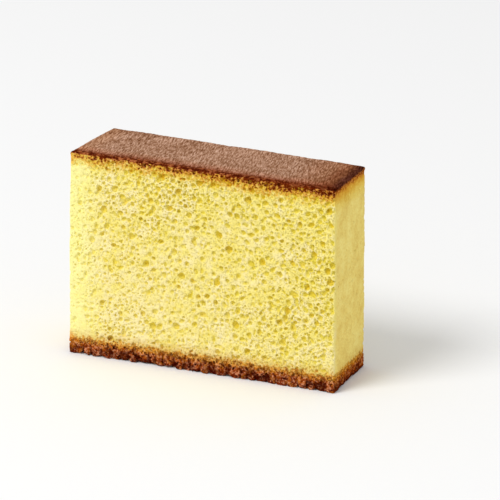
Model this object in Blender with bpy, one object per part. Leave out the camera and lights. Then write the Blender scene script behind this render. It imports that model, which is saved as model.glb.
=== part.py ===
"""A thick upright slice of castella sponge cake, resting on its bottom crust.

Metres, +Z up. The slice's length runs along X and its thickness along Y. The big cut face
looks towards -Y. The slice is one solid: a sponge block with soft cut faces, a thin baked
crust whose edge stands a little proud at the top, and a coarse, ragged crust at the bottom
that is flat underneath, where it rests.
"""
import math

import bmesh
import bpy
from mathutils import Vector, noise

# The slice, before its faces are given their unevenness.
LENGTH = 0.0872
THICKNESS = 0.0272
HEIGHT = 0.065

# How far it strays from a straight block.
BACK_INSET = 0.0011     # each end is this much shorter at the back than at the front
BASE_SPREAD = 0.0006    # each end is this much further out at the base than at the top
TOP_FALL = 0.0008       # the top falls this much from the left end to the right
THINNING = 0.0019       # the slice is this much thinner at the right end than at the left
EDGE_ROUND = Vector((0.0016, 0.0010, 0.0012))    # roundness of the edges along X, Y and Z

# The soft unevenness of the cut faces.
WAVE_LENGTH = 0.021
WAVE_HEIGHT = 0.00030
DIMPLE_LENGTH = 0.0065
DIMPLE_HEIGHT = 0.00018

# The top crust: a thin skin, a little proud of the cut faces, with a pebbled top.
TOP_CRUST_DEPTH = 0.0022
TOP_CRUST_PROUD = 0.00020
PEBBLE_LENGTH = 0.0052
PEBBLE_HEIGHT = 0.00016

# The bottom crust: a thick coarse band, ragged along the rim that it rests inside.
BOTTOM_CRUST_DEPTH = 0.0046
BOTTOM_CRUST_PROUD = 0.00020
GRAIN_LENGTH = 0.0034
GRAIN_HEIGHT = 0.00038
RIM_LENGTH = 0.0060
RIM_STEP = 0.00030      # the rim clears the ground by at least this much
RIM_RISE = 0.00090

# The grid that the faces are shaped on: finer beside the edges and in both crusts.
EDGE_STEPS = (0.0006, 0.0014, 0.0026)
BOTTOM_STEPS = (0.0005, 0.0012, 0.0024, 0.0036, 0.0048, 0.0064)
TOP_STEPS = (0.0005, 0.0011, 0.0018, 0.0028, 0.0044)
FACE_STEP = 0.0026

CRUMB_COLOUR = (0.863, 0.708, 0.220, 1.0)
CRUMB_ROUGHNESS = 0.85


def clear_scene():
    """Remove every object, so that only the slice is left."""
    for thing in list(bpy.data.objects):
        bpy.data.objects.remove(thing, do_unlink=True)


def crumb_material():
    """The sponge's own pale yellow, matt."""
    material = bpy.data.materials.new("sponge_crumb")
    material.use_nodes = True
    shader = material.node_tree.nodes["Principled BSDF"]
    shader.inputs["Base Color"].default_value = CRUMB_COLOUR
    shader.inputs["Roughness"].default_value = CRUMB_ROUGHNESS
    shader.inputs["Metallic"].default_value = 0.0
    material.diffuse_color = CRUMB_COLOUR
    return material


def stations(low, high, low_steps, high_steps):
    """Where the grid cuts one side: close steps at both ends, even steps between them."""
    start = low + low_steps[-1]
    stop = high - high_steps[-1]
    count = max(1, round((stop - start) / FACE_STEP))
    near = [low + step for step in low_steps[:-1]]
    middle = [start + (stop - start) * index / count for index in range(count + 1)]
    far = [high - step for step in reversed(high_steps[:-1])]
    return near + middle + far


def gridded_block():
    """A closed block, cut into a grid along X, Y and Z."""
    block = bmesh.new()
    bmesh.ops.create_cube(block, size=1.0)
    bmesh.ops.scale(block, vec=Vector((LENGTH, THICKNESS, HEIGHT)), verts=block.verts)
    bmesh.ops.translate(block, vec=Vector((0.0, 0.0, HEIGHT / 2)), verts=block.verts)
    cuts = (
        (Vector((1, 0, 0)), stations(-LENGTH / 2, LENGTH / 2, EDGE_STEPS, EDGE_STEPS)),
        (Vector((0, 1, 0)), stations(-THICKNESS / 2, THICKNESS / 2, EDGE_STEPS, EDGE_STEPS)),
        (Vector((0, 0, 1)), stations(0.0, HEIGHT, BOTTOM_STEPS, TOP_STEPS)),
    )
    for axis, places in cuts:
        for place in places:
            bmesh.ops.bisect_plane(
                block,
                geom=block.verts[:] + block.edges[:] + block.faces[:],
                plane_co=axis * place,
                plane_no=axis,
                dist=1e-7,
            )
    return block


def on_rounded_block(point):
    """Move a point of the block onto its rounded form, and give the way out of it there."""
    low = Vector((-LENGTH / 2, -THICKNESS / 2, 0.0)) + EDGE_ROUND
    high = Vector((LENGTH / 2, THICKNESS / 2, HEIGHT)) - EDGE_ROUND
    core = Vector(min(max(point[i], low[i]), high[i]) for i in range(3))
    reach = Vector((point[i] - core[i]) / EDGE_ROUND[i] for i in range(3))
    reach.normalize()
    rounded = core + Vector(reach[i] * EDGE_ROUND[i] for i in range(3))
    outward = Vector(reach[i] / EDGE_ROUND[i] for i in range(3))
    outward.normalize()
    return rounded, outward


def smooth_step(low, high, value):
    """0 below low, 1 above high, and a smooth rise between them."""
    share = min(max((value - low) / (high - low), 0.0), 1.0)
    return share * share * (3.0 - 2.0 * share)


def bumps(point, size, seed):
    """Smooth unevenness between about -1 and 1, with swells of the given size."""
    shift = Vector((seed * 3.1, seed * 1.7, seed * 2.3))
    return noise.noise(point / size + shift)


def rim_height(point):
    """How far the rim rises at a point: not at all on the flat foot, raggedly around it."""
    foot_edge = EDGE_STEPS[-1]
    inside = min(LENGTH / 2 - abs(point.x), THICKNESS / 2 - abs(point.y))
    if inside > foot_edge - 1e-6:
        return 0.0
    ragged = 0.5 + 0.5 * math.tanh(3.0 * bumps(point, RIM_LENGTH, 5))
    near_base = 1.0 - smooth_step(0.0, BOTTOM_CRUST_DEPTH, point.z)
    return near_base * (RIM_STEP + RIM_RISE * ragged * (1.0 - inside / foot_edge))


def uneven(point, outward):
    """How far a point of the rounded block moves out for the crumb and the crusts."""
    top = smooth_step(HEIGHT - TOP_CRUST_DEPTH, HEIGHT - TOP_CRUST_DEPTH * 0.4, point.z)
    bottom = 1.0 - smooth_step(BOTTOM_CRUST_DEPTH * 0.8, BOTTOM_CRUST_DEPTH * 1.2, point.z)
    crumb = WAVE_HEIGHT * bumps(point, WAVE_LENGTH, 1)
    crumb += DIMPLE_HEIGHT * bumps(point, DIMPLE_LENGTH, 2)
    pebbles = PEBBLE_HEIGHT * bumps(point, PEBBLE_LENGTH, 3)
    grain = GRAIN_HEIGHT * bumps(point, GRAIN_LENGTH, 4)
    sideways = 1.0 - abs(outward.z)
    out = crumb * (1.0 - bottom)
    out += top * (TOP_CRUST_PROUD * sideways + pebbles)
    out += bottom * sideways * (BOTTOM_CRUST_PROUD + grain)
    return out


def shaped(point):
    """The place on the finished slice of a point of the plain block."""
    rounded, outward = on_rounded_block(point)
    place = rounded + outward * uneven(rounded, outward)
    place.z += rim_height(rounded)
    across = rounded.y / THICKNESS + 0.5
    along = rounded.x / LENGTH
    up = rounded.z / HEIGHT
    place.x += 2.0 * along * (BASE_SPREAD * (1.0 - up) - BACK_INSET * across)
    place.y -= THINNING * along * (across - 0.5)
    place.z -= TOP_FALL * up * along
    return place


def centre_on_origin(block):
    """Stand the slice on z = 0, with its box centred over the origin."""
    low = Vector(min(vert.co[i] for vert in block.verts) for i in range(3))
    high = Vector(max(vert.co[i] for vert in block.verts) for i in range(3))
    middle = (low + high) / 2
    bmesh.ops.translate(block, vec=Vector((-middle.x, -middle.y, -low.z)), verts=block.verts)


def make_slice():
    """The one solid: grid, shape, stand it on the origin, and shade it smooth."""
    block = gridded_block()
    for vert in block.verts:
        vert.co = shaped(vert.co.copy())
    centre_on_origin(block)
    bmesh.ops.recalc_face_normals(block, faces=block.faces)
    mesh = bpy.data.meshes.new("castella_slice")
    block.to_mesh(mesh)
    block.free()
    mesh.shade_smooth()
    mesh.set_sharp_from_angle(angle=math.radians(50))
    mesh.materials.append(crumb_material())
    cake = bpy.data.objects.new("castella_slice", mesh)
    bpy.context.scene.collection.objects.link(cake)
    return cake


clear_scene()
make_slice()
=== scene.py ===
"""The looks of a slice of castella sponge cake: holed yellow crumb between two brown crusts."""
import math

import bmesh
import bpy
import numpy as np
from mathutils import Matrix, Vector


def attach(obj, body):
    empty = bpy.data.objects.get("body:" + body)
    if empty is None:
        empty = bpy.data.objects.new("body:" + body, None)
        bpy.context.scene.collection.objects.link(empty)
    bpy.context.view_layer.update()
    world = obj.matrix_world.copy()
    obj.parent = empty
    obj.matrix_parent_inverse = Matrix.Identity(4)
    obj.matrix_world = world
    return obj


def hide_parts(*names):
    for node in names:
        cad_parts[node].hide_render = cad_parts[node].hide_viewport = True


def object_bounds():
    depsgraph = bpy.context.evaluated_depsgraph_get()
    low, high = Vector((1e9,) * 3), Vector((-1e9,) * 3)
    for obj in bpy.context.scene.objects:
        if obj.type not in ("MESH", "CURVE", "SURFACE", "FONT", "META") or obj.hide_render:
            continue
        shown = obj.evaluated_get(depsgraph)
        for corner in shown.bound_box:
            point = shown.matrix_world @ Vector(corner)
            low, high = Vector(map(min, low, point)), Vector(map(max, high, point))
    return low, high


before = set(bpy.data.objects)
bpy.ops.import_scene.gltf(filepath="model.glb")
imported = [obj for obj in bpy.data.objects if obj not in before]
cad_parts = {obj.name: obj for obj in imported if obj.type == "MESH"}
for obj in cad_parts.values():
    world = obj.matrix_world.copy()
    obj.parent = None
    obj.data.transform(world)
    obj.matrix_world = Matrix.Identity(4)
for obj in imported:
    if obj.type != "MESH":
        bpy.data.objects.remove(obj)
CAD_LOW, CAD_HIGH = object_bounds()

import openvdb
from mathutils import Matrix, Vector

MM = 0.001

# The slice's smooth form, inside the box that the frame gives.
BOX = CAD_HIGH - CAD_LOW
SLACK = 0.15 * MM                       # the box is this much bigger than the smooth form
BACK_INSET = 1.17 * MM                  # each end is this much shorter at the back
BASE_SPREAD = 0.54 * MM                 # each end is this much further out at the base
TOP_FALL = 0.79 * MM                    # the top falls this much from left to right
THINNING = 1.98 * MM                    # the slice is this much thinner at the right
LENGTH = BOX.x - 2 * BASE_SPREAD - SLACK
THICKNESS = BOX.y - THINNING / 2 - SLACK
HEIGHT = BOX.z - TOP_FALL / 2
MIDDLE = Vector((0, 0, HEIGHT / 2))

# The swells of the cut faces, broad and small, and of the top.
WAVE_LENGTH = 19 * MM
WAVE_HEIGHT = 0.16 * MM
RIPPLE_LENGTH = 6 * MM
RIPPLE_HEIGHT = 0.10 * MM
TOP_WAVE_LENGTH = 7 * MM
TOP_WAVE_HEIGHT = 0.12 * MM

# Its edges.
CRUST_PROUD = 0.12 * MM                 # how far the crusts stand out of the cut faces
EDGE_ROUND = 0.5 * MM
TOP_ROUND = 0.8 * MM
RIGHT_ROLL = 1.4 * MM                   # the crust rolls over the right end's top edge
LEFT_ROLL = 0.6 * MM
RIM_WIDTH = 2.2 * MM                    # the rim underneath, ragged and clear of the ground
RIM_LENGTH = 3.0 * MM
RIM_RISE = 0.7 * MM

TOP_CRUST_DEPTH = 1.4 * MM
BOTTOM_CRUST_DEPTH = 4.7 * MM

# The bottom crust's lumps. Distances across a lump are in lumps.
LUMP = 3.3 * MM
LUMP_SHAPE = np.array((1.0, 1.0, 3.2))  # how much longer than that they are along each axis
LUMP_JITTER = (0.12, 0.88)              # where a lump's middle may lie in its own cell
LUMP_REACH = 1.6 * MM                   # they are worked out this near the surface
LUMP_LEVEL = 0.74                       # this far from its middle, a lump doesn't stand out
LUMP_RISE = 0.36                        # millimetres out for each lump nearer its middle
GAP_WIDTH = 0.34
GAP_DEPTH = 0.52                        # in millimetres

# The fine unevenness all over.
GRIT_LENGTH = 0.55 * MM
GRIT_HEIGHT = 0.07 * MM
CRUST_GRIT_HEIGHT = 0.11 * MM
PEBBLE_LENGTH = 1.1 * MM
PEBBLE_HEIGHT = 0.05 * MM

# The unevenness of a hole's wall: the size of its swells, and their share of the hole.
WOBBLE_LENGTH = 0.75 * MM
WOBBLE_SHARE = 0.28

# The grid that the crumb is carved in, and how many triangles the whole may keep.
STEP = 0.20 * MM
PAD = 5                                 # empty steps around the slice
TRIANGLES = 490_000
OPEN_AIR = 0.4 * MM                     # air this far off the slice is outside it
DEEPEST_HOLE = 3.2 * MM
HOLLOW_REACH = 0.40 * MM                # how far around a place counts towards its hollowness

# Where the crumb pieces end, inside the crumb, and the crusts' pieces begin.
TOP_CUT = HEIGHT - 2.6 * MM
BOTTOM_CUT = 6.0 * MM

# The flat sheets that the pieces' patterns are kept on.
SIDE_AXES = (0, 0, 1, 1, 2, 2)          # the axis that each side of the block looks along
CHART_GAP = 1.0 * MM
CUT_SCALE = 0.3                         # the cuts, which nothing shows, are drawn this small


def smooth_step(low, high, value):
    """0 below low, 1 above high, and a smooth rise between them."""
    share = np.clip((value - low) / (high - low), 0.0, 1.0)
    return share * share * (3.0 - 2.0 * share)


class Grid:
    """Evenly spaced places around the slice."""

    def __init__(self, step):
        self.step = step
        self.low = np.array(CAD_LOW) - PAD * step
        counts = np.ceil((np.array(CAD_HIGH) - self.low) / step).astype(int) + PAD
        rows = [self.low[i] + step * np.arange(counts[i]) for i in range(3)]
        self.x = rows[0].astype(np.float32)[:, None, None]
        self.y = rows[1].astype(np.float32)[None, :, None]
        self.z = rows[2].astype(np.float32)[None, None, :]
        self.counts = counts

    def swell(self, size, seed, flat_axis=None):
        """Smooth unevenness between -1 and 1, with swells of the given size."""
        rng = np.random.default_rng(seed)
        places = []
        for axis in range(3):
            count = 1 if axis == flat_axis else self.counts[axis]
            places.append(np.arange(count) * (self.step / size))
        spots = [int(place[-1]) + 2 for place in places]
        values = rng.uniform(-1.0, 1.0, spots).astype(np.float32)
        for axis, place in enumerate(places):
            before = np.floor(place).astype(int)
            share = place - before
            share = (share * share * (3.0 - 2.0 * share)).astype(np.float32)
            share = share.reshape([-1 if i == axis else 1 for i in range(3)])
            first = np.take(values, before, axis)
            values = first + (np.take(values, before + 1, axis) - first) * share
        return values

    def read(self, field, points):
        """The field's values at points, blended between the places around each."""
        spot = np.clip((points - self.low) / self.step, 0.0, self.counts - 1.001)
        corner = spot.astype(int)
        share = spot - corner
        found = np.zeros(len(points))
        for i in (0, 1):
            for j in (0, 1):
                for k in (0, 1):
                    weight = (
                        (share[:, 0] if i else 1 - share[:, 0])
                        * (share[:, 1] if j else 1 - share[:, 1])
                        * (share[:, 2] if k else 1 - share[:, 2])
                    )
                    found += weight * field[corner[:, 0] + i, corner[:, 1] + j, corner[:, 2] + k]
        return found


def stretches(x, y, z):
    """How much the slice's taper, spread and fall stretch it along each axis at a place."""
    across = y / THICKNESS + 0.5
    spread = BASE_SPREAD * (1.0 - z / HEIGHT) - BACK_INSET * across
    return (
        1.0 + 2.0 * spread / LENGTH,
        1.0 - THINNING / THICKNESS * x / LENGTH,
        1.0 - TOP_FALL / HEIGHT * x / LENGTH,
    )


def straightened(x, y, z):
    """Where a place of the slice would be if the slice were a straight block."""
    along, across, up = stretches(x, y, z)
    return x / along, y / across, z / up


def rim_rise(grid, x, y):
    """How far the ragged rim clears the ground: not at the left end, and less at the right."""
    inside = np.minimum(LENGTH / 2 - np.abs(x), THICKNESS / 2 - np.abs(y))
    ragged = np.maximum(0.0, np.tanh(2.5 * grid.swell(RIM_LENGTH, seed=13, flat_axis=2)))
    rise = RIM_RISE * (1.0 - smooth_step(0.0, RIM_WIDTH, inside)) * ragged
    rise = rise * smooth_step(0.5 * MM, 4.0 * MM, x + LENGTH / 2)
    return rise * (1.0 - 0.45 * smooth_step(4 * MM, 16 * MM, x))


def roll_over_ends(form, x, z):
    """Round the slice's top edge at each end, where the crust rolls over it."""
    for side, roll in ((1, RIGHT_ROLL), (-1, LEFT_ROLL)):
        past_x = np.maximum(side * x - (LENGTH / 2 + CRUST_PROUD - roll), 0.0)
        past_z = np.maximum(z - (HEIGHT - roll), 0.0)
        corner = np.where(past_x * past_z > 0, np.hypot(past_x, past_z) - roll, -1.0)
        form = np.maximum(form, corner)
    return form


def smooth_form(grid):
    """How far each place is outside the slice before its crumb is carved; negative inside."""
    x, y, z = straightened(grid.x, grid.y, grid.z)
    waves = WAVE_HEIGHT * grid.swell(WAVE_LENGTH, seed=11)
    waves = waves + RIPPLE_HEIGHT * grid.swell(RIPPLE_LENGTH, seed=12)
    top = smooth_step(HEIGHT - TOP_CRUST_DEPTH, HEIGHT - TOP_CRUST_DEPTH * 0.4, z)
    bottom = 1.0 - smooth_step(BOTTOM_CRUST_DEPTH * 0.7, BOTTOM_CRUST_DEPTH * 1.3, z)
    out = waves + CRUST_PROUD * np.maximum(top, bottom)
    beyond_x = np.abs(x) - LENGTH / 2 - out
    beyond_y = np.abs(y) - THICKNESS / 2 - out
    top_waves = TOP_WAVE_HEIGHT * grid.swell(TOP_WAVE_LENGTH, seed=14, flat_axis=2)
    beyond_z = np.maximum(z - HEIGHT - top_waves, rim_rise(grid, x, y) - z)
    roundness = EDGE_ROUND + (TOP_ROUND - EDGE_ROUND) * smooth_step(0.9 * HEIGHT, HEIGHT, z)
    beyond = [beyond_x + roundness, beyond_y + roundness, beyond_z + roundness]
    square = sum(np.square(np.maximum(one, 0.0)) for one in beyond)
    inward = np.minimum(np.maximum(np.maximum(beyond[0], beyond[1]), beyond[2]), 0.0)
    form = np.sqrt(square) + inward - roundness
    return roll_over_ends(form, x, z).astype(np.float32)


class Bubbles:
    """Air bubbles near a face, none too close to another."""

    BATCH = 400                         # how many are tried at a time
    TRIES = 5                           # how many are tried for each one wanted
    SPARE_BATCHES = 5
    SMALLNESS = 1.6                     # above 1, small bubbles are commoner than large ones

    def __init__(self, seed):
        self.rng = np.random.default_rng(seed)
        self.centres = np.zeros((0, 3))
        self.sizes = np.zeros(0)
        self.stretch = np.zeros(0)

    def scatter(self, wanted, place, sizes, stretch, gap, share=None):
        """Try to place the wanted number; share(centres) is the chance of keeping each."""
        low, high = sizes
        made = 0
        for _ in range(self.TRIES * wanted // self.BATCH + self.SPARE_BATCHES):
            size = low * (high / low) ** (self.rng.random(self.BATCH) ** self.SMALLNESS)
            centre = place(self.rng, size)
            chance = self.rng.random(self.BATCH)
            keep = np.ones(self.BATCH, bool) if share is None else chance < share(centre)
            keep &= self.clear_of(self.centres, self.sizes, centre, size, gap)
            fresh = []
            for i in np.flatnonzero(keep):
                if made == wanted:
                    break
                if self.clear_of(centre[fresh], size[fresh], centre[i:i + 1], size[i:i + 1], gap)[0]:
                    fresh.append(i)
                    made += 1
            self.centres = np.vstack([self.centres, centre[fresh]])
            self.sizes = np.append(self.sizes, size[fresh])
            self.stretch = np.append(self.stretch, np.full(len(fresh), stretch))
            if made == wanted:
                break

    @staticmethod
    def clear_of(others, other_sizes, centres, sizes, gap):
        """Whether each bubble keeps its distance from all the others."""
        away = np.linalg.norm(centres[:, None, :] - others[None, :, :], axis=2)
        return np.all(away > gap * (sizes[:, None] + other_sizes[None, :]), axis=1)


def random_turn(rng):
    """A random rotation, as a 3 by 3 matrix."""
    spin = rng.normal(size=4)
    w, x, y, z = spin / np.linalg.norm(spin)
    return np.array([
        [1 - 2 * (y * y + z * z), 2 * (x * y - z * w), 2 * (x * z + y * w)],
        [2 * (x * y + z * w), 1 - 2 * (x * x + z * z), 2 * (y * z - x * w)],
        [2 * (x * z - y * w), 2 * (y * z + x * w), 1 - 2 * (x * x + y * y)],
    ])


def bent(x, y, z):
    """Points of the straight block, moved to where they are on the slice."""
    along, across, up = stretches(x, y, z)
    return np.stack([x * along, y * across, z * up], axis=1)


def on_cut_face(side, out):
    """Places on the big front (-1) or back (1) face, a little under or over its surface."""
    def place(rng, size):
        x = rng.uniform(-LENGTH / 2, LENGTH / 2, len(size))
        z = rng.uniform(BOTTOM_CRUST_DEPTH * 0.8, HEIGHT - 0.9 * MM, len(size))
        y = side * (THICKNESS / 2 + size * rng.uniform(*out, len(size)))
        return bent(x, y, z)
    return place


def on_end(side, out):
    """Places on the left (-1) or right (1) end, a little over its surface."""
    def place(rng, size):
        y = rng.uniform(-THICKNESS / 2, THICKNESS / 2, len(size))
        z = rng.uniform(BOTTOM_CRUST_DEPTH, HEIGHT - 2.5 * MM, len(size))
        x = side * (LENGTH / 2 + size * rng.uniform(*out, len(size)))
        return bent(x, y, z)
    return place


def on_bottom_band(out):
    """Places all round the bottom crust's sides."""
    def place(rng, size):
        along = rng.uniform(0.0, 2 * (LENGTH + THICKNESS), len(size))
        z = rng.uniform(0.2 * MM, BOTTOM_CRUST_DEPTH * 1.1, len(size))
        past = rng.uniform(*out, len(size)) * size
        on_length = along < 2 * LENGTH
        side = np.where(along < LENGTH, 1, -1)
        x = np.where(on_length, along % LENGTH - LENGTH / 2, 0.0)
        y = np.where(on_length, side * (THICKNESS / 2 + past), 0.0)
        along = along - 2 * LENGTH
        side = np.where(along < THICKNESS, 1, -1)
        x = np.where(on_length, x, side * (LENGTH / 2 + past))
        y = np.where(on_length, y, along % THICKNESS - THICKNESS / 2)
        return bent(x, y, z)
    return place


def beside_right_end(x):
    """1, but less along the right end, where holes would break the edge."""
    return 1.0 - 0.6 * smooth_step(-2.0 * MM, -0.5 * MM, x - LENGTH / 2)


def coarse_share(centres):
    """Coarse holes gather towards the top and the right, and keep off both crusts."""
    x, z = centres[:, 0], centres[:, 2]
    near_crust = (z > HEIGHT - 3.2 * MM) | (z < BOTTOM_CRUST_DEPTH + 1.5 * MM)
    share = 0.08 + 0.92 * (0.5 * (x / LENGTH + 0.5) + 0.5 * z / HEIGHT) ** 1.5
    share = share * (0.25 + 0.75 * smooth_step(2 * MM, 8 * MM, x + LENGTH / 2))
    return np.where(near_crust, 0.05, share)


def middling_share(centres):
    """Middling holes are scarce in the lower left corner and beside both ends."""
    x, z = centres[:, 0], centres[:, 2]
    share = 0.12 + 0.88 * (0.45 * (x / LENGTH + 0.5) + 0.55 * z / HEIGHT) ** 1.7
    share = share * (0.4 + 0.6 * smooth_step(0, 14 * MM, x + LENGTH / 2))
    return share * beside_right_end(x)


def small_share(centres):
    """Small holes lie all over, fewer in the lower left corner and beside both ends."""
    x, z = centres[:, 0], centres[:, 2]
    share = 0.34 + 0.66 * (0.5 * (x / LENGTH + 0.5) + 0.5 * z / HEIGHT) ** 1.5
    share = share * (0.6 + 0.4 * smooth_step(0, 12 * MM, x + LENGTH / 2))
    return share * beside_right_end(x)


# Bubbles on each cut face: how many, how far out of it their middles are (in their own
# sizes), their sizes, how long they stretch, how far they keep apart, and where they gather.
FACE_BUBBLES = (
    (250, (0.00, 0.45), (0.85 * MM, 1.25 * MM), 1.35, 0.98, coarse_share),
    (520, (-0.05, 0.40), (0.60 * MM, 0.86 * MM), 1.4, 0.94, middling_share),
    (1350, (-0.12, 0.40), (0.42 * MM, 0.60 * MM), 1.4, 0.90, middling_share),
    (3400, (-0.30, 0.36), (0.27 * MM, 0.41 * MM), 1.35, 0.86, small_share),
)

# The same for each end and for the bottom crust's sides, where they gather nowhere. Those
# of the ends barely break the surface.
END_BUBBLES = (420, (0.35, 0.80), (0.28 * MM, 0.50 * MM), 1.5, 1.0)
BASE_BUBBLES = (1000, (-0.20, 0.70), (0.22 * MM, 0.48 * MM), 1.8, 0.85)


def crumb_bubbles():
    """Every bubble that opens on a face of the slice."""
    groups = []
    for side, seed in ((-1, 101), (1, 102)):
        face = Bubbles(seed)
        for wanted, out, sizes, stretch, gap, share in FACE_BUBBLES:
            face.scatter(wanted, on_cut_face(side, out), sizes, stretch, gap, share)
        groups.append(face)
    for side, seed in ((-1, 103), (1, 104)):
        end = Bubbles(seed)
        wanted, out, sizes, stretch, gap = END_BUBBLES
        end.scatter(wanted, on_end(side, out), sizes, stretch, gap)
        groups.append(end)
    base = Bubbles(105)
    wanted, out, sizes, stretch, gap = BASE_BUBBLES
    base.scatter(wanted, on_bottom_band(out), sizes, stretch, gap)
    groups.append(base)
    return groups


def carve(grid, field, bubbles, wobble):
    """Take the bubbles out of the field, with their walls made uneven."""
    rng = bubbles.rng
    for centre, size, stretch in zip(bubbles.centres, bubbles.sizes, bubbles.stretch):
        long = rng.uniform(1.0, stretch)
        flat = rng.uniform(0.85, 1.0)
        reach = size * np.array([long, flat, 1.0 / math.sqrt(long * flat)])
        turn = random_turn(rng)
        around = max(reach) + 2 * grid.step
        first = np.maximum(((centre - around - grid.low) / grid.step).astype(int), 0)
        last = np.minimum(((centre + around - grid.low) / grid.step).astype(int) + 2, grid.counts)
        if np.any(first >= last):
            continue
        spots = tuple(slice(a, b) for a, b in zip(first, last))
        away = (
            grid.x[spots[0]] - centre[0],
            grid.y[:, spots[1]] - centre[1],
            grid.z[:, :, spots[2]] - centre[2],
        )
        square = 0.0
        for i in range(3):
            along = turn[i, 0] * away[0] + turn[i, 1] * away[1] + turn[i, 2] * away[2]
            square = square + np.square(along / reach[i])
        inside = (1.0 - np.sqrt(square)) * min(reach) + wobble[spots] * min(reach) * WOBBLE_SHARE
        field[spots] = np.maximum(field[spots], inside.astype(np.float32))


def lumpy(grid, form):
    """How far the bottom crust's lumps stand out, and how far the gaps between them go in."""
    z = grid.z * np.ones_like(form)
    near = (np.abs(form) < LUMP_REACH) & (z < BOTTOM_CRUST_DEPTH * 1.5)
    where = np.argwhere(near)
    points = grid.low + where * grid.step
    rng = np.random.default_rng(seed=61)
    spots = np.ceil((np.array(grid.counts) * grid.step) / LUMP).astype(int) + 4
    jitter = rng.uniform(*LUMP_JITTER, (*spots, 3)).astype(np.float32)
    scaled = ((points - grid.low) / (LUMP * LUMP_SHAPE) + 1.5).astype(np.float32)
    cell = scaled.astype(int)
    nearest = np.full(len(points), 9.0, np.float32)
    second = np.full(len(points), 9.0, np.float32)
    for i in (-1, 0, 1):
        for j in (-1, 0, 1):
            for k in (-1, 0, 1):
                other = cell + (i, j, k)
                centre = other + jitter[other[:, 0], other[:, 1], other[:, 2]]
                away = np.linalg.norm(scaled - centre, axis=1)
                second = np.minimum(second, np.maximum(nearest, away))
                nearest = np.minimum(nearest, away)
    gap = 1.0 - smooth_step(0.0, GAP_WIDTH, second - nearest)
    fade = 1.0 - smooth_step(BOTTOM_CRUST_DEPTH * 0.4, BOTTOM_CRUST_DEPTH * 1.15, points[:, 2])
    fade *= 1.0 - 0.9 * smooth_step(LENGTH / 2 - 3 * MM, LENGTH / 2 - 1 * MM, np.abs(points[:, 0]))
    out = np.zeros_like(form)
    push = (LUMP_RISE * (LUMP_LEVEL - nearest) - GAP_DEPTH * gap) * fade * MM
    out[tuple(where.T)] = push
    return out


def roughen(grid, field):
    """Give the crumb, the skin and the bottom crust their own fine unevenness."""
    x, y, z = straightened(grid.x, grid.y, grid.z)
    bottom = 1.0 - smooth_step(BOTTOM_CRUST_DEPTH * 0.75, BOTTOM_CRUST_DEPTH * 1.2, z)
    side = np.abs(y) - THICKNESS / 2 > np.abs(x) - LENGTH / 2    # the big faces, not the ends
    grit = grid.swell(GRIT_LENGTH, seed=21)
    field += grit * (GRIT_HEIGHT * (0.35 + 0.65 * side)).astype(np.float32)
    field += grid.swell(PEBBLE_LENGTH, seed=22) * PEBBLE_HEIGHT
    field += grit * (CRUST_GRIT_HEIGHT * bottom).astype(np.float32)


def fill_shut_bubbles(field, form, grid):
    """Fill the bubbles that no opening reaches, so that nothing is left inside the slice."""
    air = field > 0
    reached = air & (form > OPEN_AIR)
    for axis in range(3):
        for end in (0, -1):
            edge = [slice(None)] * 3
            edge[axis] = end
            reached[tuple(edge)] = True
    for _ in range(int(DEEPEST_HOLE / grid.step)):
        grown = reached.copy()
        grown[1:] |= reached[:-1]
        grown[:-1] |= reached[1:]
        grown[:, 1:] |= reached[:, :-1]
        grown[:, :-1] |= reached[:, 1:]
        grown[:, :, 1:] |= reached[:, :, :-1]
        grown[:, :, :-1] |= reached[:, :, 1:]
        reached = grown & air
    shut = air & ~reached
    field[shut] = -0.5 * grid.step


def blurred(field, reach):
    """The mean of the field over a small cube around each place."""
    for axis in range(3):
        total = np.cumsum(field, axis=axis, dtype=np.float32)
        ahead = np.roll(total, -reach, axis)
        behind = np.roll(total, reach + 1, axis)
        field = (ahead - behind) / (2 * reach + 1)
    return field


def surface(grid, field, name):
    """The closed surface where the field is 0, as a mesh."""
    band = 3 * grid.step
    volume = openvdb.FloatGrid(band)
    volume.copyFromArray(np.clip(field, -band, band))
    points, _, quads = volume.convertToPolygons(0.0, 0.0)
    mesh = bpy.data.meshes.new(name)
    mesh.vertices.add(len(points))
    mesh.vertices.foreach_set("co", (points * grid.step + grid.low).astype(np.float32).ravel())
    mesh.loops.add(quads.size)
    mesh.loops.foreach_set("vertex_index", quads.astype(np.int32).ravel())
    mesh.polygons.add(len(quads))
    mesh.polygons.foreach_set("loop_start", np.arange(0, quads.size, 4, dtype=np.int32))
    mesh.update(calc_edges=True)
    return mesh


def thinned(mesh, triangles):
    """The mesh with its flattest triangles merged, down to the number given."""
    holder = bpy.data.objects.new("thinning", mesh)
    bpy.context.scene.collection.objects.link(holder)
    thin = holder.modifiers.new("thin", "DECIMATE")
    thin.ratio = min(1.0, triangles / (2 * len(mesh.polygons)))
    graph = bpy.context.evaluated_depsgraph_get()
    result = bpy.data.meshes.new_from_object(holder.evaluated_get(graph))
    bpy.data.objects.remove(holder, do_unlink=True)
    bpy.data.meshes.remove(mesh)
    return result


def cut_off(block, across, place, keep_above):
    """Keep one side of a plane, and close the cut with its own sharp edge."""
    axis = Vector([1.0 if i == across else 0.0 for i in range(3)])
    bmesh.ops.bisect_plane(
        block,
        geom=block.verts[:] + block.edges[:] + block.faces[:],
        plane_co=axis * place,
        plane_no=axis,
        dist=1e-8,
        clear_outer=not keep_above,
        clear_inner=keep_above,
    )
    rim = [edge for edge in block.edges if edge.is_boundary]
    for edge in rim:
        edge.smooth = False
    bmesh.ops.triangle_fill(block, edges=rim, use_beauty=True)


def nearest_side(straight):
    """The side of the block nearest each place: 0, 1 across X, 2, 3 across Y, 4, 5 across Z."""
    half = np.array((LENGTH / 2, THICKNESS / 2, HEIGHT / 2))
    off = straight - (0.0, 0.0, HEIGHT / 2)
    away = np.stack([half + off, half - off], axis=2).reshape(-1, 6)
    return np.argmin(away, axis=1)


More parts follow.
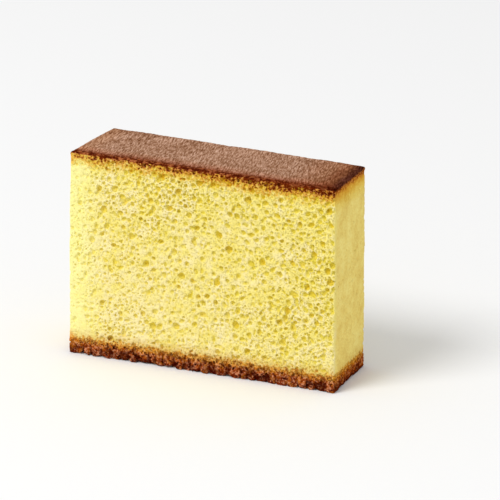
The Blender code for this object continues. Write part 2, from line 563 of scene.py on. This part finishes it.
def rows_of_charts(sizes):
    """Where each chart goes on a sheet, row by row, and how wide the sheet is."""
    width = max(size[0] for size in sizes)
    places = [None] * len(sizes)
    rows = []
    top = 0.0
    for i in sorted(range(len(sizes)), key=lambda i: -sizes[i][1]):
        wide, high = sizes[i]
        row = next((row for row in rows if row[0] + wide <= width and high <= row[2]), None)
        if row is None:
            row = [0.0, top, high]
            rows.append(row)
            top += high + CHART_GAP
        places[i] = (row[0], row[1])
        row[0] += wide + CHART_GAP
    return places, max(width, top)


def lay_flat(mesh, points, straight, planes):
    """Give the piece a flat sheet: one chart for each side, and small ones for its cuts."""
    corners = np.empty(len(mesh.loops), np.int32)
    mesh.loops.foreach_get("vertex_index", corners)
    counts = np.empty(len(mesh.polygons), np.int32)
    mesh.polygons.foreach_get("loop_total", counts)
    starts = np.cumsum(counts) - counts
    side = nearest_side(np.add.reduceat(straight[corners], starts) / counts[:, None])
    centres = np.add.reduceat(points[corners], starts) / counts[:, None]
    axes = list(SIDE_AXES)
    for axis, place, _ in planes:
        side[np.abs(centres[:, axis] - place) < 1e-7] = len(axes)
        axes.append(axis)
    side = np.repeat(side, counts)
    flat = np.zeros((len(corners), 2))
    charts = [i for i in range(len(axes)) if np.any(side == i)]
    sizes = []
    for i in charts:
        along = [axis for axis in range(3) if axis != axes[i]]
        spots = straight[corners[side == i]][:, along]
        spots = spots - spots.min(axis=0)
        if spots[:, 0].max() < spots[:, 1].max():
            spots = spots[:, ::-1]
        flat[side == i] = spots * (1.0 if i < len(SIDE_AXES) else CUT_SCALE)
        sizes.append(flat[side == i].max(axis=0))
    places, width = rows_of_charts(sizes)
    for i, place in zip(charts, places):
        flat[side == i] += place
    layer = mesh.uv_layers.new(name="OFBake")
    layer.data.foreach_set("uv", (flat / width).astype(np.float32).ravel())


def carved(grid, form):
    """The smooth form with its lumps, holes and fine unevenness, and a flat underside."""
    field = form - lumpy(grid, form)
    wobble = grid.swell(WOBBLE_LENGTH, seed=31)
    for group in crumb_bubbles():
        carve(grid, field, group, wobble)
    roughen(grid, field)
    field = np.maximum(field, -grid.z)
    fill_shut_bubbles(field, form, grid)
    return field


def hollowness(grid, field):
    """How much cake lies close around each place, 0 to 1: the most deep in a hole."""
    solid = np.clip(0.5 - field / grid.step, 0.0, 1.0)
    reach = max(1, round(HOLLOW_REACH / grid.step))
    return blurred(blurred(solid, reach), reach)


# The planes that each piece is cut out by: the axis they cross, where, and whether the
# piece lies past them. They don't show: the pieces meet there and share one material.
CUTS = {
    "top_crust": ((2, TOP_CUT, True),),
    "bottom_crust": ((2, BOTTOM_CUT, False),),
    "crumb_front": ((2, TOP_CUT, False), (2, BOTTOM_CUT, True), (1, 0.0, False)),
    "crumb_back": ((2, TOP_CUT, False), (2, BOTTOM_CUT, True), (1, 0.0, True)),
}


def make_piece(name, planes, whole, grid, form, hollow):
    """One piece of the whole slice, with its flat sheet and what its colours need."""
    block = whole.copy()
    for axis, place, above in planes:
        cut_off(block, axis, place, above)
    mesh = bpy.data.meshes.new(name)
    block.to_mesh(mesh)
    block.free()
    points = np.empty(len(mesh.vertices) * 3, np.float32)
    mesh.vertices.foreach_get("co", points)
    points = points.reshape(-1, 3).astype(float)
    straight = np.stack(straightened(*points.T), axis=1)
    lay_flat(mesh, points, straight, planes)
    layer = mesh.attributes.new("spot", "FLOAT_VECTOR", "POINT")
    layer.data.foreach_set("vector", (straight / MM).astype(np.float32).ravel())
    values = {"hollow": grid.read(hollow, points), "deep": -grid.read(form, points) / MM}
    for label, numbers in values.items():
        layer = mesh.attributes.new(label, "FLOAT", "POINT")
        layer.data.foreach_set("value", numbers.astype(np.float32))
    mesh.shade_smooth()
    piece = bpy.data.objects.new(name, mesh)
    bpy.context.scene.collection.objects.link(piece)
    return piece


def make_pieces():
    """The slice, carved whole and then cut into its pieces."""
    grid = Grid(STEP)
    form = smooth_form(grid)
    field = carved(grid, form)
    mesh = thinned(surface(grid, field, "slice"), TRIANGLES)
    hollow = hollowness(grid, field)
    whole = bmesh.new()
    whole.from_mesh(mesh)
    pieces = {}
    for name, planes in CUTS.items():
        pieces[name] = make_piece(name, planes, whole, grid, form, hollow)
    whole.free()
    return pieces


def linear(red, green, blue):
    """A colour as seen, 0 to 255, as the shader's linear light."""
    def one(value):
        value /= 255
        return value / 12.92 if value <= 0.04045 else ((value + 0.055) / 1.055) ** 2.4
    return (one(red), one(green), one(blue), 1.0)


class Wire:
    """A value running between a material's nodes. Arithmetic on it adds Math nodes."""

    def __init__(self, look, socket):
        self.look = look
        self.socket = socket

    def __add__(self, other):
        return self.look.math("ADD", self, other)

    def __sub__(self, other):
        return self.look.math("SUBTRACT", self, other)

    def __rsub__(self, other):
        return self.look.math("SUBTRACT", other, self)

    def __mul__(self, other):
        return self.look.math("MULTIPLY", self, other)

    def __truediv__(self, other):
        return self.look.math("DIVIDE", self, other)

    __radd__ = __add__
    __rmul__ = __mul__


class Look:
    """A material being wired up."""

    def __init__(self, name):
        self.material = bpy.data.materials.new(name)
        self.material.use_nodes = True
        self.tree = self.material.node_tree
        self.tree.nodes.clear()

    def node(self, kind, settings=None, inputs=None, output=0):
        """Add a node, give it its settings, then its inputs, and return one output."""
        node = self.tree.nodes.new(kind)
        for name, value in (settings or {}).items():
            if name == "stops":
                set_stops(node.color_ramp, value)
            else:
                setattr(node, name, value)
        for name, value in (inputs or {}).items():
            if isinstance(value, Wire):
                self.tree.links.new(value.socket, node.inputs[name])
            else:
                node.inputs[name].default_value = value
        return Wire(self, node.outputs[output]) if node.outputs else None

    def math(self, operation, first, second=0.0):
        """Arithmetic on one or two values."""
        return self.node("ShaderNodeMath", {"operation": operation}, {0: first, 1: second})

    def between(self, value, low, high):
        """0 at low, 1 at high, a smooth rise between."""
        settings = {"interpolation_type": "SMOOTHSTEP"}
        inputs = {"Value": value, "From Min": low, "From Max": high}
        return self.node("ShaderNodeMapRange", settings, inputs)

    def mix(self, share, first, second, blend="MIX"):
        """Blend two colours."""
        settings = {"data_type": "RGBA", "blend_type": blend}
        return self.node("ShaderNodeMix", settings, {0: share, 6: first, 7: second}, 2)

    def tinted(self, colour, tint):
        """The colour multiplied by the tint."""
        return self.mix(1.0, colour, tint, "MULTIPLY")

    def ramp(self, value, stops):
        """Colours set along a value."""
        return self.node("ShaderNodeValToRGB", {"stops": stops}, {"Fac": value})

    def attribute(self, name):
        """A number kept on the mesh."""
        return self.node("ShaderNodeAttribute", {"attribute_name": name}, output="Fac")

    def part(self, vector, axis):
        """One of a vector's numbers: X, Y or Z."""
        return self.node("ShaderNodeSeparateXYZ", None, {0: vector}, axis)

    def noise(self, place, scale, detail=2.0, roughness=0.5):
        """Unevenness around 0.5, with this many swells to each unit of the place."""
        inputs = {"Vector": place, "Scale": scale, "Detail": detail, "Roughness": roughness}
        return self.node("ShaderNodeTexNoise", None, inputs)

    def bump(self, height, depth):
        """A fine relief: the normal of a surface raised by the height times the depth."""
        return self.node("ShaderNodeBump", None, {"Height": height, "Distance": depth})

    def finish(self, colour, roughness, normal=None):
        """Wire the shader to the surface."""
        inputs = {"Base Color": colour, "Roughness": roughness, "Specular IOR Level": 0.0}
        if normal is not None:
            inputs["Normal"] = normal
        shader = self.node("ShaderNodeBsdfPrincipled", None, inputs)
        self.node("ShaderNodeOutputMaterial", None, {"Surface": shader})
        return self.material


def set_stops(ramp, stops):
    """Give a colour ramp its stops, each a place and a colour."""
    while len(ramp.elements) > 1:
        ramp.elements.remove(ramp.elements[-1])
    ramp.elements[0].position = stops[0][0]
    ramp.elements[0].color = stops[0][1]
    for place, colour in stops[1:]:
        ramp.elements.new(place).color = colour


class Cake:
    """What the sponge's colours are worked out from. Places are in millimetres."""

    def __init__(self, look):
        half = LENGTH / 2 / MM
        spot = look.node("ShaderNodeAttribute", {"attribute_name": "spot"}, output="Vector")
        self.spot = spot
        self.along = look.part(spot, "X")
        self.height = look.part(spot, "Z")
        self.under_top = HEIGHT / MM - self.height
        self.from_front = look.part(spot, "Y") + THICKNESS / 2 / MM
        self.from_left = self.along + half
        self.from_right = half - self.along
        self.hollow = look.attribute("hollow")
        self.deep = look.attribute("deep")

        facing = look.node("ShaderNodeNewGeometry", output="Normal")
        self.up = look.part(facing, "Z")
        outermost = look.between(look.math("ABSOLUTE", self.along), half - 1.0, half - 0.4)
        sideways = look.math("ABSOLUTE", look.part(facing, "X"))
        self.on_end = look.between(sideways, 0.45, 0.85) * outermost
        self.off_end = 1.0 - self.on_end

        self.blotch = look.noise(spot, 0.12, 3.0)
        self.patch = look.noise(spot, 0.38, 2.0)
        self.grain = look.noise(spot, 1.5, 3.0, 0.6)
        self.fray = look.noise(spot, 0.95, 3.0, 0.7) - 0.5
        self.lip = look.noise(spot, 0.9, 2.0, 0.6)

        # 0 at the lower left to 1 at the upper right, where the crumb is more open.
        self.opener = self.along * (0.5 * MM / LENGTH) + self.height * (0.5 * MM / HEIGHT) + 0.25
        # Fine specks of painted shade, standing for pores too small to carve, which the relief also
        # dents.
        fine = look.noise(spot, 2.6, 2.0, 0.55)
        self.shaded_pore_specks = look.between(fine, 0.52, 0.70) * self.off_end * (self.opener * 0.8 + 0.5)

        # The skin's speckle, drawn out across the slice, partly its grain and partly painted sheen
        # in pale pinkish streaks, and where the skin lies.
        brushed = look.node("ShaderNodeMapping", {"vector_type": "TEXTURE"}, {
            "Vector": spot,
            "Rotation": (0.0, 0.0, math.radians(13)),
            "Scale": (1.0, 6.0, 1.0),
        })
        speckle_and_sheen = look.noise(brushed, 2.2, 2.0, 0.7) * 0.72 + look.noise(spot, 1.6, 3.0, 0.7) * 0.28
        self.speckle_and_sheen = look.between(speckle_and_sheen, 0.29, 0.71)
        facing_up = look.between(self.up + (self.lip - 0.5) * 0.9, 0.30, 0.70)
        self.on_skin = facing_up * (1.0 - look.between(self.under_top, 1.6, 2.4))


def crumb_colour(look, cake):
    """Pale yellow, with painted shade deeper in the holes and to the upper right, painted light on
    the ridges, painted glows in the deep holes and along the left end, and plain on the ends.
    """
    # Painted shade: darker, more golden colour deeper in the holes, stronger to the upper right, and
    # painted light on the ridges between them, with random patches of tone.
    painted_hole_shade = look.between(cake.deep, 0.08, 0.52)
    painted_shade_and_tone = painted_hole_shade * (cake.opener * 0.42 + 0.30) + (cake.hollow - 0.5) * 0.45
    painted_shade_and_tone = painted_shade_and_tone + (cake.patch - 0.5) * 0.5
    crumb = look.ramp(painted_shade_and_tone + (cake.blotch - 0.5) * 0.2 + 0.18, [
        (0.00, linear(250, 236, 178)),
        (0.25, linear(247, 231, 156)),
        (0.50, linear(243, 224, 130)),
        (0.75, linear(234, 217, 107)),
        (1.00, linear(227, 208, 85)),
    ])
    # Painted glow: the deepest holes turn golden, standing for light that shines through the crumb.
    painted_hole_glow = look.between(cake.deep, 0.45, 1.1) * (cake.opener * 0.56 + 0.24)
    crumb = look.mix(painted_hole_glow, crumb, linear(236, 203, 56))
    richer = cake.along * (0.10 * MM / LENGTH) + cake.height * (0.08 * MM / HEIGHT) - 0.04
    yellow = look.between(look.noise(cake.spot, 0.26, 3.0, 0.55) + richer, 0.36, 0.64)
    crumb = look.mix(yellow, crumb, look.tinted(crumb, linear(252, 250, 204)))
    crumb = look.mix(cake.shaded_pore_specks, crumb, look.tinted(crumb, linear(228, 224, 208)))
    # Painted glow: a pale yellow light along the left end, on faces not turned up, standing for
    # light shining through the edge.
    painted_edge_glow = (1.0 - look.between(cake.from_left, 0.0, 14.0)) * (1.0 - look.between(cake.up, 0.3, 0.8))
    crumb = look.mix(painted_edge_glow * 0.75, crumb, linear(255, 248, 160))
    cut_end = look.ramp(cake.grain * 0.4 + cake.patch * 0.3 + cake.blotch * 0.3, [
        (0.36, linear(232, 200, 104)),
        (0.50, linear(246, 222, 126)),
        (0.64, linear(255, 238, 146)),
    ])
    return look.mix(cake.on_end * look.between(cake.from_front, -0.5, 3.0), crumb, cut_end)


def under_skin(look, cake, crumb):
    """The crumb, toasted in a frayed band under the top crust, with dark and golden beads and a
    painted orange glow by the left end.
    """
    sweep = (look.noise(cake.spot, 0.24, 2.0) - 0.5) * 4.0
    fraying = (cake.fray * 11.5 + sweep) * (1.0 - cake.on_end * 0.72)
    frayed = cake.under_top * (1.0 - cake.on_end * 0.28) + fraying
    frayed = frayed + look.between(cake.from_left, 9.0, 0.0) * cake.off_end * 0.5
    leaning = look.between(cake.from_right, 30.0, 62.0) * 0.5
    leaning = leaning - look.between(cake.from_right, 46.0, 22.0) * 0.8
    frayed = frayed + leaning * cake.off_end
    toast = look.ramp(frayed / 6.0, [
        (0.035, linear(112, 44, 18)),
        (0.115, linear(148, 78, 34)),
        (0.185, linear(192, 126, 66)),
        (0.255, linear(218, 168, 94)),
        (0.340, linear(232, 192, 122)),
        (0.500, linear(240, 215, 158)),
        (0.667, linear(248, 238, 204)),
        (0.850, linear(253, 250, 236)),
        (1.000, linear(255, 255, 255)),
    ])
    colour = look.tinted(crumb, toast)
    # Painted glow: orange light by the left end, standing for light shining through the edge.
    painted_warm_edge_glow = look.between(cake.from_left, 2.0, 0.2) * look.between(cake.under_top, 0.4, 1.4)
    painted_warm_edge_glow = painted_warm_edge_glow * look.between(cake.under_top, 5.0, 2.0) * cake.off_end
    colour = look.mix(painted_warm_edge_glow * 0.6, colour, linear(240, 172, 60))
    bead = look.noise(cake.spot, 1.6, 3.0, 0.65)
    golden = look.between(bead, 0.51, 0.61) * look.between(frayed, -0.6, 0.8)
    golden = look.between(frayed, 2.6, 0.6) * golden
    colour = look.mix(golden * 0.8, colour, linear(236, 164, 86))
    dark = look.between(frayed, 2.0, 0.4) * look.between(bead, 0.50, 0.40)
    return look.mix(dark * 0.8, colour, linear(96, 24, 2))


def skin_colour(look, cake):
    """The top crust's brown skin, with painted sheen in its pale streaks, darker along the front and
    right edges, with a mottled lip.
    """
    # The pale pinkish end of this ramp is partly painted sheen.
    skin = look.ramp(cake.speckle_and_sheen + (cake.blotch - 0.5) * 0.62, [
        (0.00, linear(112, 68, 42)),
        (0.32, linear(151, 107, 79)),
        (0.50, linear(171, 128, 100)),
        (0.68, linear(191, 148, 122)),
        (1.00, linear(222, 181, 157)),
    ])
    front_edge = look.ramp((cake.from_front + cake.fray * 5.0) * 0.125, [
        (0.125, linear(150, 77, 41)),
        (0.250, linear(180, 124, 96)),
        (0.375, linear(217, 180, 164)),
        (0.500, linear(236, 210, 199)),
        (0.625, linear(248, 231, 222)),
        (1.000, linear(255, 255, 255)),
    ])
    right_edge = look.ramp((cake.from_right + cake.fray * 5.0) * 0.055, [
        (0.050, linear(128, 92, 86)),
        (0.110, linear(163, 129, 115)),
        (0.165, linear(186, 151, 123)),
        (0.275, linear(214, 180, 157)),
        (0.440, linear(241, 225, 209)),
        (0.660, linear(250, 239, 231)),
        (1.000, linear(255, 255, 255)),
    ])
    white = linear(255, 255, 255)
    left_edge = look.mix(look.between(cake.from_left, 2.0, 9.0), linear(250, 240, 226), white)
    skin = look.tinted(look.tinted(look.tinted(skin, front_edge), right_edge), left_edge)
    rim = 1.0 - look.between(cake.from_front, 0.6, 3.6)
    paler = look.between(cake.lip, 0.50, 0.62)
    paler = paler * (look.between(cake.from_right, 6.0, 46.0) * 0.65 + 0.35)
    skin = look.mix(rim * paler, skin, linear(176, 102, 58))
    return look.mix(rim * look.between(cake.lip, 0.50, 0.40) * 0.9, skin, linear(74, 20, 6))


def bottom_crust_colour(look, cake, clumps):
    """Burnt brown, redder and darker low down, with amber patches, melted sugar and painted shade in
    its gaps and pits.
    """
    browned = look.ramp((cake.height + clumps) * 0.125, [
        (0.00, linear(108, 36, 6)),
        (0.12, linear(138, 55, 13)),
        (0.25, linear(160, 73, 19)),
        (0.38, linear(172, 83, 22)),
        (0.50, linear(192, 112, 30)),
        (0.62, linear(210, 144, 46)),
        (0.75, linear(226, 176, 72)),
    ])
    amber = look.noise(cake.spot, 0.55, 3.0, 0.65)
    browned = look.mix(look.between(amber, 0.51, 0.62) * 0.42, browned, linear(214, 138, 42))
    browned = look.mix(look.between(amber, 0.48, 0.38) * 0.5, browned, linear(104, 28, 10))
    sugar = look.between(look.noise(cake.spot, 1.4, 3.0, 0.7), 0.49, 0.59)
    sugar_height = look.between(cake.height, 3.0, 5.0)
    sugar_colour = look.mix(sugar_height, linear(228, 158, 118), linear(240, 190, 104))
    browned = look.mix(sugar * 0.72, browned, sugar_colour)
    burnt = look.between(look.noise(cake.spot, 1.05, 3.0, 0.7), 0.50, 0.59)
    burnt = burnt * (0.84 - look.between(cake.height, 3.4, 5.2) * 0.3)
    browned = look.mix(burnt, browned, linear(80, 8, 0))
    char = look.between(look.noise(cake.spot, 0.40, 3.0, 0.6), 0.48, 0.58)
    char = char * look.between(cake.height, 5.0, 1.0)
    browned = look.mix(char * 0.6, browned, linear(66, 6, 0))
    # Painted shade: near-black in the gaps between lumps and in the pits, low down.
    painted_crevice_shade = look.between(cake.deep + (cake.grain - 0.5) * 0.4, 0.10, 0.56)
    painted_crevice_shade = painted_crevice_shade * look.between(cake.height, 6.4, 2.4)
    browned = look.mix(painted_crevice_shade * 0.95, browned, linear(54, 2, 0))
    seared = look.ramp((cake.height + clumps * 0.4) * 0.25, [
        (0.10, linear(186, 136, 96)),
        (0.24, linear(222, 184, 142)),
        (0.42, linear(248, 232, 196)),
        (0.80, linear(255, 248, 214)),
    ])
    return look.mix(cake.on_end, browned, look.tinted(browned, seared))


def over_bottom_crust(look, cake, colour):
    """The colour so far, tanned low down and running raggedly into the bottom crust, with a painted
    orange glow by the left end.
    """
    clumps = (look.noise(cake.spot, 0.8, 3.0, 0.65) - 0.5) * (1.0 - cake.on_end * 0.3) * 6.0
    tanned = look.between(cake.height + cake.fray * 6.0, 9.4, 6.0) * (1.0 - cake.on_end * 0.6)
    colour = look.mix(tanned * 0.8, colour, look.tinted(colour, linear(236, 220, 206)))
    base = 1.0 - look.between(cake.height + clumps, 5.4, 6.5)
    colour = look.mix(base, colour, bottom_crust_colour(look, cake, clumps))
    # Painted glow: orange light by the left end, standing for light shining through the edge.
    painted_warm_edge_glow = look.between(cake.from_left, 2.4, 0.2) * look.between(cake.height, 2.0, 4.2)
    painted_warm_edge_glow = painted_warm_edge_glow * look.between(cake.height, 8.4, 5.6) * cake.off_end
    return look.mix(painted_warm_edge_glow * 0.6, colour, linear(234, 146, 54))


SPONGE_ROUGHNESS = 0.85
RELIEF_DEPTH = 0.22 * MM


def sponge_material():
    """Crumb, skin and bottom crust, each running into the next."""
    look = Look("castella")
    cake = Cake(look)
    colour = under_skin(look, cake, crumb_colour(look, cake))
    colour = look.mix(cake.on_skin, colour, skin_colour(look, cake))
    colour = over_bottom_crust(look, cake, colour)
    relief = cake.grain * (0.6 - cake.on_skin * 0.5) + look.noise(cake.spot, 4.0, 2.0) * 0.4
    relief = relief - cake.shaded_pore_specks * 0.5 + cake.speckle_and_sheen * cake.on_skin * 0.3
    return look.finish(colour, SPONGE_ROUGHNESS, look.bump(relief, RELIEF_DEPTH))


FLOOR_COLOUR = (0.92, 0.92, 0.92, 1.0)
FLOOR_ROUGHNESS = 0.9
FLOOR_REACH = 3.0


def floor_material():
    """A matt, nearly white table."""
    return Look("table").finish(FLOOR_COLOUR, FLOOR_ROUGHNESS)


def make_floor():
    """The table that the slice's shadow falls on."""
    mesh = bpy.data.meshes.new("floor")
    reach = FLOOR_REACH
    corners = [(-reach, -reach, 0), (reach, -reach, 0), (reach, reach, 0), (-reach, reach, 0)]
    mesh.from_pydata(corners, [], [(0, 1, 2, 3)])
    floor = bpy.data.objects.new("floor", mesh)
    bpy.context.scene.collection.objects.link(floor)
    mesh.materials.append(floor_material())


# The camera's place, around the middle of the slice.
AZIMUTH = math.radians(23.699)
ELEVATION = math.radians(18.544)
ROLL = math.radians(0.485)
DISTANCE = 1.300
LENS = 304.26
SENSOR = 36.0
AIM_RIGHT = 9.557 * MM
AIM_UP = 3.006 * MM


def make_camera():
    """A long lens, a little above the slice and to the right of its big face."""
    back = Vector((
        math.sin(AZIMUTH) * math.cos(ELEVATION),
        -math.cos(AZIMUTH) * math.cos(ELEVATION),
        math.sin(ELEVATION),
    ))
    right = Vector((math.cos(AZIMUTH), math.sin(AZIMUTH), 0.0))
    upward = back.cross(right)
    aim = MIDDLE + right * AIM_RIGHT + upward * AIM_UP
    lens = bpy.data.cameras.new("camera")
    lens.sensor_width = SENSOR
    lens.lens = LENS
    lens.clip_start = 0.01
    lens.clip_end = 20.0
    camera = bpy.data.objects.new("camera", lens)
    bpy.context.scene.collection.objects.link(camera)
    across = right * math.cos(ROLL) + upward * math.sin(ROLL)
    over = upward * math.cos(ROLL) - right * math.sin(ROLL)
    turn = Matrix((across, over, back)).transposed().to_4x4()
    camera.matrix_world = Matrix.Translation(aim + back * DISTANCE) @ turn
    bpy.context.scene.camera = camera


# The lamp's place, in front, to the left and high up, its width and its power in watts.
LAMP_PLACE = Vector((-0.83, -1.45, 2.0))
LAMP_WIDTH = 1.2
LAMP_POWER = 36.5
SURROUND = 0.66                         # the strength of the white all around


def make_light():
    """One wide lamp with soft shadows, and an even white surround."""
    world = bpy.data.worlds.new("studio")
    bpy.context.scene.world = world
    world.use_nodes = True
    world.node_tree.nodes["Background"].inputs["Color"].default_value = (1, 1, 1, 1)
    world.node_tree.nodes["Background"].inputs["Strength"].default_value = SURROUND
    lamp = bpy.data.lights.new("key", "AREA")
    lamp.shape = "DISK"
    lamp.size = LAMP_WIDTH
    lamp.energy = LAMP_POWER
    holder = bpy.data.objects.new("key", lamp)
    bpy.context.scene.collection.objects.link(holder)
    holder.location = LAMP_PLACE
    holder.rotation_mode = "QUATERNION"
    holder.rotation_quaternion = (MIDDLE - LAMP_PLACE).to_track_quat("-Z", "Y")


def main():
    """The slice's pieces on their body, all with the one material, on a lit table."""
    pieces = make_pieces()
    material = sponge_material()
    for name, piece in pieces.items():
        piece.data.materials.clear()
        piece.data.materials.append(material)
        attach(piece, "root")
        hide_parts("castella_slice")
    make_floor()
    make_camera()
    make_light()
    bpy.context.scene.view_settings.view_transform = "Standard"


main()
